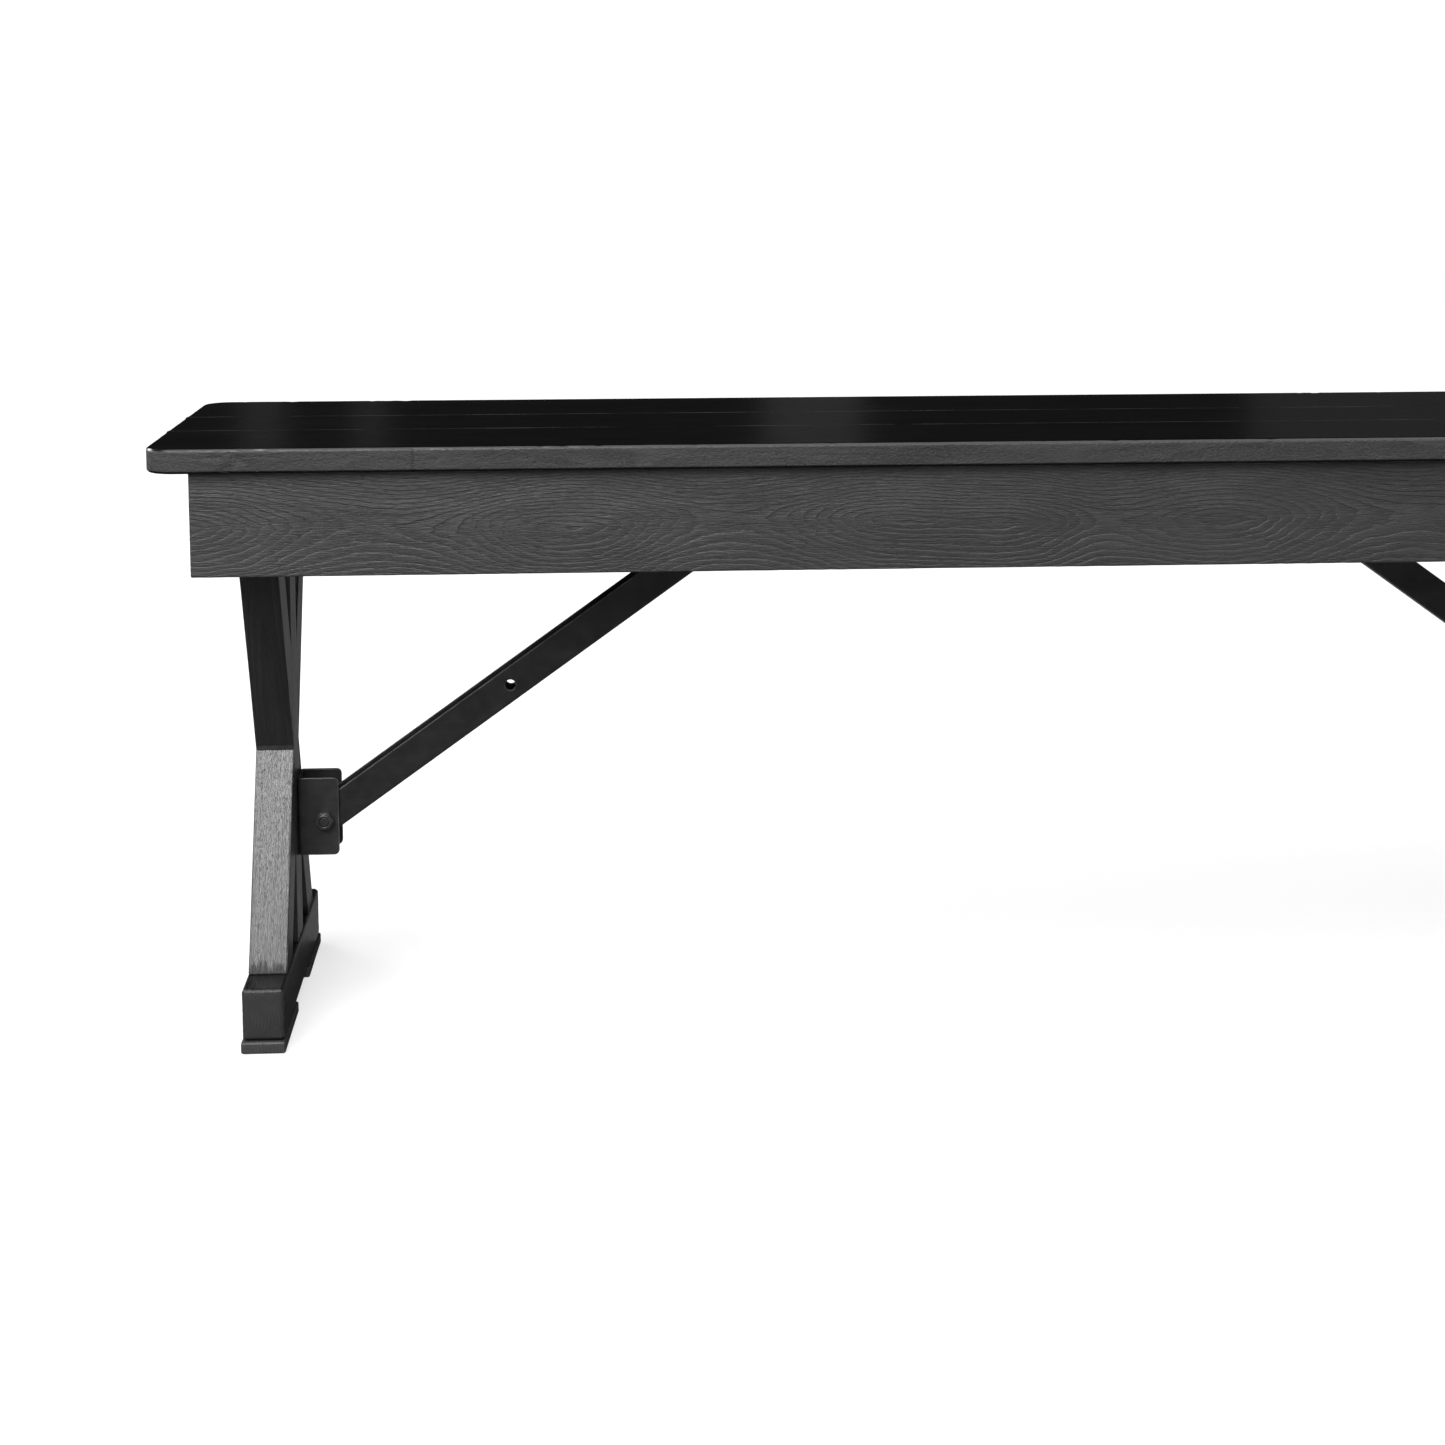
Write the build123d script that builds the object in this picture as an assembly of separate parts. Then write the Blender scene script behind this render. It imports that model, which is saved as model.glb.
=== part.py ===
from build123d import *

import os
from math import atan2, degrees, hypot

# A long, narrow farm bench. Three X-shaped wooden legs fold up between the aprons, and each
# is held down by a brace of channel steel that a loose pin locks to a catch under the top.
# X runs along the bench, -Y is its front, and the origin is on the floor under its middle.

# ---- Driving dimensions, mm ----
LENGTH = 2438.0
WIDTH = 305.0
HEIGHT = 457.0

TOP_T = 18.0
SIDE_PLANK_W = 108.0
CORNER_R = 22.0
TOP_EDGE_R = 2.5
GROOVE = 0.8

APRON_H = 76.0
APRON_T = 18.0
APRON_END_INSET = 31.0
APRON_SIDE_INSET = 8.0
EASED = 1.0
ROUNDED = 1.5

LEG_T = 29.0
LEG_X = (-1147.5, 40.0, 1147.5)
LEG_NAMES = ("left", "middle", "right")
LEG_TURNS = (0.0, 180.0, 180.0)
PIVOT_Z = 385.0
RAIL_L = 209.0
RAIL_Z = (357.0, 399.0)
POST_W = 35.0
ARM_SLOPE = 0.461
CROSSING_Z = 205.0
FOOT_L = 243.0
FOOT_T = 31.0
FOOT_Z = (9.0, 48.5)
FOOT_END_R = 4.0
PAD_L = 86.5
PAD_W = 33.0
PAD_PAST_FOOT = 3.0

SHEET = 2.0
BRACE_W = 25.0
BRACE_Y = 14.0
BRACE_END = 12.5
BRACE_STORE_HOLE = 180.6
FLANGE_CORNER_R = 8.0
BRACKET_W = 30.0
BRACKET_Z = (114.0, 176.0)
BRACKET_OUT = 32.0
BRACKET_SCREW_INSET = 9.0
BOLT_Z = 142.4
BOLT_OUT = 21.0
EAR_CORNER_R = 4.0
CATCH_BASE_L = 60.0
CATCH_EAR_L = 22.0
CATCH_EAR_BELOW_PIN = 11.0

M8_R = 4.0
RUNNING_R = M8_R + 0.06
FIXED_HOLE_R = M8_R + 0.1
LOCK_HOLE_R = 4.25
HEX_AF = 13.0
HEX_HEAD_T = 5.3
HEX_CHAMFER = 0.7
NUT_T = 6.5
NUT_COLLAR_R = 5.85
NUT_COLLAR_T = 1.8
BOLT_CHAMFER = 0.8
PIN_COLLAR_R = 7.5
PIN_COLLAR_T = 2.9
PIN_CHAMFER = 1.5
PIN_PAST_EAR = 6.0
PIN_NECK = 7.0
PIN_BEND_R = 8.0
PIN_HANDLE_L = 30.0

HANGER_T = 3.0
HANGER_W = 28.0
HANGER_Y = 106.0
HANGER_FLANGE = 18.0
HANGER_TIP_R = 13.0
PIVOT_BOLT_IN = 47.0

STRIP = 18.0
STRIP_END_GAP = 45.0
BATTEN_W = 44.0
BATTEN_X = (-1050.0, -104.0, 146.0, 340.0, 1050.0)
BATTEN_SCREW_Y = (-92.0, -62.0, -22.0, 22.0, 62.0, 92.0)
STRIP_SCREW_PITCH = 250.0
IRON_LEG = 20.0
IRON_Z = (389.0, 411.0)

SCREW_R = 2.0
SCREW_HEAD_R = 4.0
SCREW_HEAD_T = 2.0
SCREW_DOME_R = 1.2
SCREW_SLOT = (4.4, 0.9, 2.2)
PILOT_R = SCREW_R + 0.06
WOOD_BITE = 12.0
NEAR = 0.1  # the gap between pieces that lie close without touching

# ---- Worked out from the above ----
TOP_Z = HEIGHT - TOP_T
APRON_Z = TOP_Z - APRON_H
APRON_OUT_X = LENGTH / 2 - APRON_END_INSET
APRON_IN_X = APRON_OUT_X - APRON_T
APRON_OUT_Y = WIDTH / 2 - APRON_SIDE_INSET
APRON_IN_Y = APRON_OUT_Y - APRON_T
LEG_FACE = LEG_T / 2
BOLT_X = LEG_FACE + BOLT_OUT
# The folded leg turns its bolt up level with the catch, one storage hole short of it.
CATCH_Z = PIVOT_Z + BOLT_X
CATCH_X = PIVOT_Z - BOLT_Z + BRACE_STORE_HOLE
BRACE_L = hypot(CATCH_X - BOLT_X, CATCH_Z - BOLT_Z)
BRACE_TILT = degrees(atan2(CATCH_Z - BOLT_Z, CATCH_X - BOLT_X))


def block(x, y, z):
    """A box between two limits on each axis."""
    size = [high - low for low, high in (x, y, z)]
    middle = [(high + low) / 2 for low, high in (x, y, z)]
    return Pos(*middle) * Box(*size)


def rod_y(radius, x, z, y_from, y_to):
    """A cylinder along Y."""
    return Pos(x, (y_from + y_to) / 2, z) * Rot(90, 0, 0) * Cylinder(radius, abs(y_to - y_from))


def hexagon_y(x, z, y_from, y_to):
    """A hexagon bar along Y, with its corners taken off at both ends."""
    length = abs(y_to - y_from)
    bar = extrude(RegularPolygon(HEX_AF / 2, 6, major_radius=False), length / 2, both=True)
    tip_r = HEX_AF / 3**0.5 - HEX_CHAMFER / 7
    bar &= chamfer(Cylinder(tip_r, length).edges(), HEX_CHAMFER)
    return Pos(x, (y_from + y_to) / 2, z) * Rot(90, 0, 0) * bar


def eased(shape, radius=EASED):
    """The shape with every edge rounded."""
    return fillet(shape.edges(), radius)


def screw(into_wood):
    """A pan-head screw with its head below Z = 0 and its shank above."""
    head = Pos(0, 0, -SCREW_HEAD_T / 2) * Cylinder(SCREW_HEAD_R, SCREW_HEAD_T)
    head = fillet(head.edges().sort_by(Axis.Z)[0], SCREW_DOME_R)
    for turn in (0, 90):
        head -= Pos(0, 0, -SCREW_HEAD_T) * Rot(0, 0, turn) * Box(*SCREW_SLOT)
    shank = Pos(0, 0, into_wood / 2) * Cylinder(SCREW_R, into_wood)
    return head + chamfer(shank.edges().sort_by(Axis.Z)[-1], SCREW_R * 0.6)


def drilled(shape, places, depth):
    """The shape with a pilot hole along local Z at each place."""
    for place in places:
        shape -= place * Cylinder(PILOT_R, 2 * depth)
    return shape


# ---- Top ----
def strip_spans():
    """Where the strips along each side apron start and stop: between the legs."""
    ends = [x + way * STRIP_END_GAP for x in LEG_X for way in (-1, 1)]
    return list(zip(ends[1:-1:2], ends[2:-1:2]))


def screws_under_battens():
    return [Pos(x, y, TOP_Z - STRIP) for x in BATTEN_X for y in BATTEN_SCREW_Y]


def screws_under_strips():
    places = []
    y = APRON_IN_Y - STRIP / 2
    for start, stop in strip_spans():
        count = round((stop - start) / STRIP_SCREW_PITCH)
        for number in range(count):
            x = start + (number + 0.5) * (stop - start) / count
            places += [Pos(x, side * y, TOP_Z - STRIP) for side in (-1, 1)]
    for end in (-1, 1):
        x = end * (APRON_IN_X - STRIP / 2)
        places += [Pos(x, side * RAIL_L / 4, TOP_Z - STRIP) for side in (-1, 1)]
    return places


def screws_under_hangers(leg_place):
    y = HANGER_Y + HANGER_T + (HANGER_FLANGE - HANGER_T) / 2
    x = HANGER_W / 4
    at = TOP_Z - HANGER_T
    return [leg_place * Pos(a * x, b * y, at) for a in (-1, 1) for b in (-1, 1)]


def screws_under_catch(leg_place):
    reach = (CATCH_BASE_L + CATCH_EAR_L) / 4
    return [leg_place * Pos(CATCH_X + a * reach, BRACE_Y, TOP_Z - SHEET) for a in (-1, 1)]


def screws_in_irons():
    """Two screws in each corner iron, one into each apron."""
    places = []
    middle = sum(IRON_Z) / 2
    for end in (-1, 1):
        for side in (-1, 1):
            into_end = Pos(end * (APRON_IN_X - SHEET), side * (APRON_IN_Y - IRON_LEG * 0.6), middle)
            into_side = Pos(end * (APRON_IN_X - IRON_LEG * 0.6), side * (APRON_IN_Y - SHEET), middle)
            places.append(into_end * Rot(0, end * 90, 0))
            places.append(into_side * Rot(-side * 90, 0, 0))
    return places


def planks(long_pilots, short_pilots):
    """Three long boards cut from one rounded slab, with a small groove at each joint."""
    slab = Box(LENGTH, WIDTH, TOP_T)
    slab = fillet(slab.edges().filter_by(Axis.Z), CORNER_R)
    slab = fillet(slab.edges().group_by(Axis.Z)[-1], TOP_EDGE_R)
    slab = fillet(slab.edges().group_by(Axis.Z)[0], TOP_EDGE_R / 2)
    slab = Pos(0, 0, TOP_Z + TOP_T / 2) * slab
    joint = WIDTH / 2 - SIDE_PLANK_W
    spans = {
        "plank_front": (-WIDTH / 2, -joint),
        "plank_middle": (-joint, joint),
        "plank_rear": (joint, WIDTH / 2),
    }
    side = GROOVE * 2**0.5
    for y in (-joint, joint):
        slab -= Pos(0, y, HEIGHT) * Rot(45, 0, 0) * Box(LENGTH, side, side)
    slab = drilled(slab, long_pilots, STRIP + WOOD_BITE + NEAR)
    slab = drilled(slab, short_pilots, WOOD_BITE + NEAR)
    everywhere = (-LENGTH, LENGTH)
    return {name: slab & block(everywhere, y, (0, 2 * HEIGHT)) for name, y in spans.items()}


def aprons(pilots):
    sides = {"front": -1, "rear": 1}
    ends = {"left": -1, "right": 1}
    z = (APRON_Z, TOP_Z)
    made = {}
    for name, side in sides.items():
        y = sorted((side * APRON_OUT_Y, side * APRON_IN_Y))
        board = eased(block((-APRON_OUT_X, APRON_OUT_X), y, z))
        made[f"apron_{name}"] = drilled(board, pilots, WOOD_BITE)
    for name, end in ends.items():
        x = sorted((end * APRON_OUT_X, end * APRON_IN_X))
        board = eased(block(x, (-APRON_IN_Y, APRON_IN_Y), z), EASED / 2)
        made[f"apron_{name}"] = drilled(board, pilots, WOOD_BITE)
    return made


def battens():
    """Cross boards that tie the three planks together where nothing folds past."""
    y = APRON_IN_Y - STRIP
    z = (TOP_Z - STRIP, TOP_Z)
    boards = [eased(block((x - BATTEN_W / 2, x + BATTEN_W / 2), (-y, y), z)) for x in BATTEN_X]
    return Compound([drilled(board, screws_under_battens(), STRIP * 1.2) for board in boards])


def strips():
    """Square strips in the corner between the top and each apron."""
    z = (TOP_Z - STRIP, TOP_Z)
    made = []
    for side in (-1, 1):
        y = sorted((side * APRON_IN_Y, side * (APRON_IN_Y - STRIP)))
        made += [block(span, y, z) for span in strip_spans()]
    for end in (-1, 1):
        x = sorted((end * APRON_IN_X, end * (APRON_IN_X - STRIP)))
        made.append(block(x, (-RAIL_L / 2, RAIL_L / 2), z))
    return Compound([drilled(eased(strip), screws_under_strips(), STRIP * 1.2) for strip in made])


def corner_irons():
    """Small steel angles that hold the side aprons to the end aprons."""
    made = []
    for end in (-1, 1):
        for side in (-1, 1):
            x_leg = sorted((end * APRON_IN_X, end * (APRON_IN_X - IRON_LEG)))
            y_leg = sorted((side * APRON_IN_Y, side * (APRON_IN_Y - IRON_LEG)))
            x_skin = sorted((end * APRON_IN_X, end * (APRON_IN_X - SHEET)))
            y_skin = sorted((side * APRON_IN_Y, side * (APRON_IN_Y - SHEET)))
            iron = block(x_skin, y_leg, IRON_Z) + block(x_leg, y_skin, IRON_Z)
            made.append(drilled(iron, screws_in_irons(), 2 * SHEET))
    return Compound(made)


def hangers(leg_place):
    """The two plates that a leg hangs from, each with a flange screwed under the top."""
    made = []
    for side in (-1, 1):
        y = sorted((side * HANGER_Y, side * (HANGER_Y + HANGER_T)))
        y_flange = sorted((side * HANGER_Y, side * (HANGER_Y + HANGER_FLANGE)))
        half = HANGER_W / 2
        plate = block((-half, half), y, (PIVOT_Z - HANGER_TIP_R, TOP_Z))
        tips = plate.edges().filter_by(Axis.Y).group_by(Axis.Z)[0]
        plate = fillet(tips, HANGER_TIP_R - 0.5)
        flange = block((-half, half), y_flange, (TOP_Z - HANGER_T, TOP_Z))
        outer = flange.edges().filter_by(Axis.Z)
        outer = outer.group_by(Axis.Y)[0 if side < 0 else -1]
        plate += fillet(outer, EAR_CORNER_R)
        plate -= rod_y(RUNNING_R, 0, PIVOT_Z, *y_flange)
        plate = drilled(leg_place * plate, screws_under_hangers(leg_place), 2 * HANGER_T)
        made.append(plate)
    return Compound(made)


def catch(leg_place):
    """The bracket under the top that takes the brace's far end and its lock pin."""
    y = (-BRACKET_W / 2, BRACKET_W / 2)
    inside = (-BRACKET_W / 2 + SHEET, BRACKET_W / 2 - SHEET)
    half = CATCH_EAR_L / 2
    ears = block((-half, half), y, (CATCH_Z - CATCH_EAR_BELOW_PIN, TOP_Z))
    ears = fillet(ears.edges().filter_by(Axis.Y).group_by(Axis.Z)[0], EAR_CORNER_R)
    ears -= block((-CATCH_EAR_L, CATCH_EAR_L), inside, (0, TOP_Z - SHEET))
    base = block((-CATCH_BASE_L / 2, CATCH_BASE_L / 2), y, (TOP_Z - SHEET, TOP_Z))
    base = fillet(base.edges().filter_by(Axis.Z), EAR_CORNER_R)
    whole = base + ears - rod_y(RUNNING_R, 0, CATCH_Z, -BRACKET_W, BRACKET_W)
    whole = leg_place * Pos(CATCH_X, BRACE_Y, 0) * whole
    return drilled(whole, screws_under_catch(leg_place), 2 * SHEET)


# ---- Leg, upright, with its brace towards +X ----
def arm(upper, side):
    """A diagonal from the middle of the X to the rail or to the foot, cut off by the post."""
    end_z = RAIL_Z[0] if upper else FOOT_Z[1]
    way = 1 if upper else -1
    rise = abs(end_z - CROSSING_Z)
    half = POST_W / 2
    lean = ARM_SLOPE * rise
    outline = [
        (half, 0),
        (half + lean, rise),
        (lean - half, rise),
        (half, POST_W / ARM_SLOPE),
    ]
    points = [(side * y, CROSSING_Z + way * z) for y, z in outline]
    face = make_face(Plane.YZ * Polyline(*points, close=True))
    board = extrude(face, LEG_T / 2, both=True)
    return eased(board, EASED / 2)


def foot_beam():
    beam = block((-FOOT_T / 2, FOOT_T / 2), (-FOOT_L / 2, FOOT_L / 2), FOOT_Z)
    beam = fillet(beam.edges().filter_by(Axis.X).group_by(Axis.Z)[-1], FOOT_END_R)
    return fillet(beam.edges().group_by(Axis.Z)[-1] + beam.edges().filter_by(Axis.Z), EASED)


def foot_pads():
    made = []
    for side in (-1, 1):
        outer = FOOT_L / 2 + PAD_PAST_FOOT
        y = sorted((side * outer, side * (outer - PAD_L)))
        made.append(eased(block((-PAD_W / 2, PAD_W / 2), y, (0, FOOT_Z[0])), ROUNDED))
    return Compound(made)


def rail():
    bar = eased(block((-LEG_FACE, LEG_FACE), (-RAIL_L / 2, RAIL_L / 2), RAIL_Z), ROUNDED)
    depth = PIVOT_BOLT_IN + 1
    for side in (-1, 1):
        start = side * (HANGER_Y + HANGER_T)
        bar -= rod_y(RUNNING_R, 0, PIVOT_Z, start, start - side * depth)
    return bar


def pivot_bolts():
    """Two shoulder bolts that turn in the hanger plates, each with a washer by the rail."""
    made = []
    for side in (-1, 1):
        plate_out = side * (HANGER_Y + HANGER_T)
        shank = rod_y(M8_R, 0, PIVOT_Z, plate_out, plate_out - side * PIVOT_BOLT_IN)
        head = hexagon_y(0, PIVOT_Z, plate_out + side * NEAR, plate_out + side * (HEX_HEAD_T + NEAR))
        neck = rod_y(M8_R, 0, PIVOT_Z, plate_out, plate_out + side)
        made.append(shank + neck + head)
        gap = (side * (RAIL_L / 2 + NEAR), side * (HANGER_Y - NEAR))
        washer = rod_y(2 * M8_R, 0, PIVOT_Z, *gap)
        made.append(washer - rod_y(FIXED_HOLE_R, 0, PIVOT_Z, *gap))
    return Compound(made)


def screws_in_bracket():
    heights = (BRACKET_Z[0] + BRACKET_SCREW_INSET, BRACKET_Z[1] - BRACKET_SCREW_INSET)
    return [Pos(LEG_FACE + SHEET, BRACE_Y, z) * Rot(0, -90, 0) for z in heights]


def post():
    half = POST_W / 2
    board = block((-LEG_FACE, LEG_FACE), (-half, half), (FOOT_Z[1], RAIL_Z[0]))
    return drilled(eased(board, EASED / 2), screws_in_bracket(), WOOD_BITE + 2)


def bracket():
    """The U-shaped bracket on the leg's face that the brace turns in."""
    y = (BRACE_Y - BRACKET_W / 2, BRACE_Y + BRACKET_W / 2)
    x = (LEG_FACE, LEG_FACE + BRACKET_OUT)
    shape = block(x, y, BRACKET_Z)
    shape = fillet(shape.edges().filter_by(Axis.Z).group_by(Axis.X)[0], 1.5 * SHEET)
    shape = fillet(shape.edges().filter_by(Axis.Y).group_by(Axis.X)[-1], EAR_CORNER_R)
    inside = block((x[0] + SHEET, x[1] + SHEET), (y[0] + SHEET, y[1] - SHEET), (0, HEIGHT))
    shape -= fillet(inside.edges().filter_by(Axis.Z).group_by(Axis.X)[0], SHEET / 2)
    shape -= rod_y(FIXED_HOLE_R, BOLT_X, BOLT_Z, y[0] - 1, y[1] + 1)
    return drilled(shape, screws_in_bracket(), 2 * SHEET)


def brace_bolt():
    """The bolt through the bracket, with a locknut on its end."""
    near = BRACE_Y - BRACKET_W / 2
    far = BRACE_Y + BRACKET_W / 2
    nut_end = near - NUT_T
    tip = nut_end - NUT_COLLAR_T * 0.6
    bolt = rod_y(M8_R, BOLT_X, BOLT_Z, tip, far)
    bolt = chamfer(bolt.edges().group_by(Axis.Y)[0], BOLT_CHAMFER)
    bolt += hexagon_y(BOLT_X, BOLT_Z, far, far + HEX_HEAD_T)
    collar_end = nut_end - NUT_COLLAR_T
    collar = rod_y(NUT_COLLAR_R, BOLT_X, BOLT_Z, nut_end, collar_end)
    collar = fillet(collar.edges().group_by(Axis.Y)[0], BOLT_CHAMFER)
    nut = hexagon_y(BOLT_X, BOLT_Z, nut_end, near) + collar
    nut -= rod_y(M8_R + NEAR / 2, BOLT_X, BOLT_Z, collar_end - 1, near + 1)
    return Compound([bolt, nut])


def brace():
    """A channel, open upwards, with holes for its bolt, for storage and for the lock pin."""
    half = BRACE_W / 2
    x = (-BRACE_END, BRACE_L + BRACE_END)
    bar = block(x, (-half, half), (-half, half))
    bar = fillet(bar.edges().filter_by(Axis.X).group_by(Axis.Z)[0], SHEET)
    bar = fillet(bar.edges().filter_by(Axis.Y).group_by(Axis.Z)[-1], FLANGE_CORNER_R)
    inside = half - SHEET
    bar -= block((x[0] - 1, x[1] + 1), (-inside, inside), (-inside, BRACE_W))
    bar -= rod_y(RUNNING_R, 0, 0, -BRACE_W, BRACE_W)
    for distance in (BRACE_STORE_HOLE, BRACE_L):
        bar -= rod_y(LOCK_HOLE_R, distance, 0, -BRACE_W, BRACE_W)
    return Pos(BOLT_X, BRACE_Y, BOLT_Z) * Rot(0, -BRACE_TILT, 0) * bar


def lock_pin():
    """A steel pin with a bent handle, pushed through the catch and the brace."""
    near = BRACE_Y - BRACKET_W / 2 - PIN_PAST_EAR
    far = BRACE_Y + BRACKET_W / 2
    bend_y = far + PIN_NECK + PIN_BEND_R
    corner = (CATCH_X, bend_y, CATCH_Z)
    path = FilletPolyline(
        (CATCH_X, near, CATCH_Z),
        corner,
        (CATCH_X, bend_y, CATCH_Z - PIN_HANDLE_L),
        radius=PIN_BEND_R,
    )
    pin = sweep(Plane(origin=path @ 0, z_dir=path % 0) * Circle(M8_R), path=path)
    pin = chamfer(pin.edges().group_by(Axis.Y)[0], PIN_CHAMFER)
    collar_start = far + NEAR
    return pin + rod_y(PIN_COLLAR_R, CATCH_X, CATCH_Z, collar_start, collar_start + PIN_COLLAR_T)


def leg_parts(name):
    """Every piece that one leg carries, by node name."""
    parts = {f"{name}_rail": rail(), f"{name}_post": post()}
    for level, upper in (("upper", True), ("lower", False)):
        for place, side in (("front", -1), ("rear", 1)):
            parts[f"{name}_arm_{level}_{place}"] = arm(upper, side)
    parts[f"{name}_foot_beam"] = foot_beam()
    parts[f"{name}_foot_pads"] = foot_pads()
    parts[f"{name}_pivot_bolts"] = pivot_bolts()
    parts[f"{name}_brace_bracket"] = bracket()
    screws = [place * screw(WOOD_BITE + SHEET) for place in screws_in_bracket()]
    parts[f"{name}_bracket_screws"] = Compound(screws)
    parts[f"{name}_brace_bolt"] = brace_bolt()
    parts[f"{name}_brace"] = brace()
    parts[f"{name}_lock_pin"] = lock_pin()
    return parts


def main():
    leg_places = [Pos(x, 0, 0) * Rot(0, 0, turn) for x, turn in zip(LEG_X, LEG_TURNS)]
    long_screws = screws_under_battens() + screws_under_strips()
    short_screws = screws_in_irons()
    for place in leg_places:
        short_screws += screws_under_hangers(place) + screws_under_catch(place)

    nodes = planks(long_screws, short_screws)
    nodes.update(aprons(screws_in_irons()))
    nodes["battens"] = battens()
    nodes["corner_strips"] = strips()
    nodes["corner_irons"] = corner_irons()
    nodes["top_screws"] = Compound([place * screw(STRIP + WOOD_BITE) for place in long_screws])
    nodes["fitting_screws"] = Compound([place * screw(WOOD_BITE) for place in short_screws])
    for name, place in zip(LEG_NAMES, leg_places):
        nodes[f"{name}_hangers"] = hangers(place)
        nodes[f"{name}_catch"] = catch(place)
        for node, shape in leg_parts(name).items():
            nodes[node] = place * shape

    os.makedirs("parts", exist_ok=True)
    for node, shape in nodes.items():
        export_step(shape, f"parts/{node}.step")
    print(len(nodes), "nodes, brace", round(BRACE_L, 1), "mm at", round(BRACE_TILT, 2), "degrees")


main()
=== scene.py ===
import math

import bpy
import numpy as np
from mathutils import Matrix, Vector


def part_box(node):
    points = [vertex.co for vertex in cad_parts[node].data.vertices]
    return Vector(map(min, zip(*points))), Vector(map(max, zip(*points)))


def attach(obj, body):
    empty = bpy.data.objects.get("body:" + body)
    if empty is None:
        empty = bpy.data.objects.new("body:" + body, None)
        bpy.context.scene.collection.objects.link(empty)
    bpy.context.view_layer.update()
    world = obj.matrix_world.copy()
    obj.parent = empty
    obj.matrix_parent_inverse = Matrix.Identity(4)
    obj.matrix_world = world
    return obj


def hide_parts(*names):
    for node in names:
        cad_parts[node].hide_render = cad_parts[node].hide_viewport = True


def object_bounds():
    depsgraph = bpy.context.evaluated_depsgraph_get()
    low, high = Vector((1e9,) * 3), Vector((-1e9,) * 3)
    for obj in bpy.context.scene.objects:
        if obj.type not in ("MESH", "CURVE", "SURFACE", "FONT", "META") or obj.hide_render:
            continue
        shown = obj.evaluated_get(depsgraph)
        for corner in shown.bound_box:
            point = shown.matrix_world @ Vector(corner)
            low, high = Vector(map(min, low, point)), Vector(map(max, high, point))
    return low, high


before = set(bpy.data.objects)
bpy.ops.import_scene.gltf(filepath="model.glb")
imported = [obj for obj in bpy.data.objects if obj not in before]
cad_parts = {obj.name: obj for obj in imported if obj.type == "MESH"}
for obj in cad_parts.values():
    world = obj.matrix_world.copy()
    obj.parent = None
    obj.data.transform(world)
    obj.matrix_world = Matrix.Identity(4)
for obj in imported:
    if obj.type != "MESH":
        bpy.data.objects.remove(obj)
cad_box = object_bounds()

# A long farm bench in black painted pine, with three folding legs braced by steel channels.
# The top, aprons and legs are remade with raised grain, rounded edges and worn corners. The
# steel pieces, screws, battens and corner strips keep their CAD shape. Lengths are in metres.

MM = 0.001
LEGS = ("left", "middle", "right")


# ---- Noise and curves, the same on every run ----
LATTICE = 64
RANDOM = np.random.default_rng(7).random((LATTICE, LATTICE, LATTICE))
SEED_SHIFT = 17.31  # each seed reads the lattice this much further on


def noise(points, feature, seed=0):
    """Smooth noise from -1 to 1 at each point, with a feature size in metres per axis."""
    at = points / np.asarray(feature) + seed * SEED_SHIFT
    cell = np.floor(at).astype(int)
    part = at - cell
    part = part * part * (3 - 2 * part)
    total = np.zeros(len(points))
    for corner in range(8):
        step = np.array([corner & 1, corner >> 1 & 1, corner >> 2 & 1])
        weight = np.prod(np.where(step, part, 1 - part), axis=1)
        i, j, k = ((cell + step) % LATTICE).T
        total += weight * RANDOM[i, j, k]
    return total * 2 - 1


def smoothstep(low, high, value):
    """A soft step from 0 at low to 1 at high."""
    t = np.clip((value - low) / (high - low), 0, 1)
    return t * t * (3 - 2 * t)


# ---- Wood: year rings about a wandering pith ----
RIDGE_PEAK = 0.30  # a ring rises over this share of its width, and falls over the rest
RIDGE_LEVEL = 0.55  # this share of a ridge's height lies below the board's own surface
RING_POWER = 1.75  # 2 would make round rings, and less gives them corners
WIDE_SIDE = 0.72  # on one side of the pith a distance counts for this share
SIDEWAYS = (4 * MM, 0.19)  # how far the pith wanders across the board, and over what length
DEPTHWAYS = (3 * MM, 0.11)  # the same for its depth
RING_WANDER = (  # how many rings they stray by, over what feature, and that noise's seed
    (0.80, (0.060, 0.012, 0.012), 2),
    (0.26, (0.018, 0.004, 0.004), 3),
    (0.12, (0.007, 0.0016, 0.0016), 7),
)
SWELLING = 0.05 * MM  # how far a whole board's surface rises and falls
WORN_CORNER = 0.25 * MM  # the most that a rounded edge is worn down by
CORNER_TURN = 0.29  # 1 less the cosine of the 45 degrees by which a corner's middle turns
BOARD_SHIFT = np.array([0.37, 0.11, 0.23])  # sets the boards' paint apart, by their seeds


def ring_turns(at, pith, spacing, seed, eyes, wander):
    """The rings passed on the way out from the pith, at each (along, across, deep).

    Each eye is (place, reach, rise), a stretch where the pith comes nearer to the face, so
    that the rings close into ovals there. wander is how far the rings stray from a smooth
    course, where 1 is a lively board.
    """
    along = at[:, 0]
    line = np.column_stack([along, np.zeros_like(along), np.zeros_like(along)])
    across = at[:, 1] - pith[0] - SIDEWAYS[0] * noise(line, (SIDEWAYS[1], 1, 1), seed)
    across = np.where(across < 0, across * WIDE_SIDE, across)
    core = np.full_like(along, pith[1])
    for place, reach, rise in eyes:
        core = core - rise * np.exp(-(((along - place) / reach) ** 2))
    core = core + DEPTHWAYS[0] * noise(line, (DEPTHWAYS[1], 1, 1), seed + 1)
    deep = at[:, 2] - core
    radius = (np.abs(across) ** RING_POWER + np.abs(deep) ** RING_POWER) ** (1 / RING_POWER)
    turns = radius / spacing
    for rings, feature, offset in RING_WANDER:
        turns = turns + wander * rings * noise(at, feature, seed + offset)
    return turns


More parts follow.
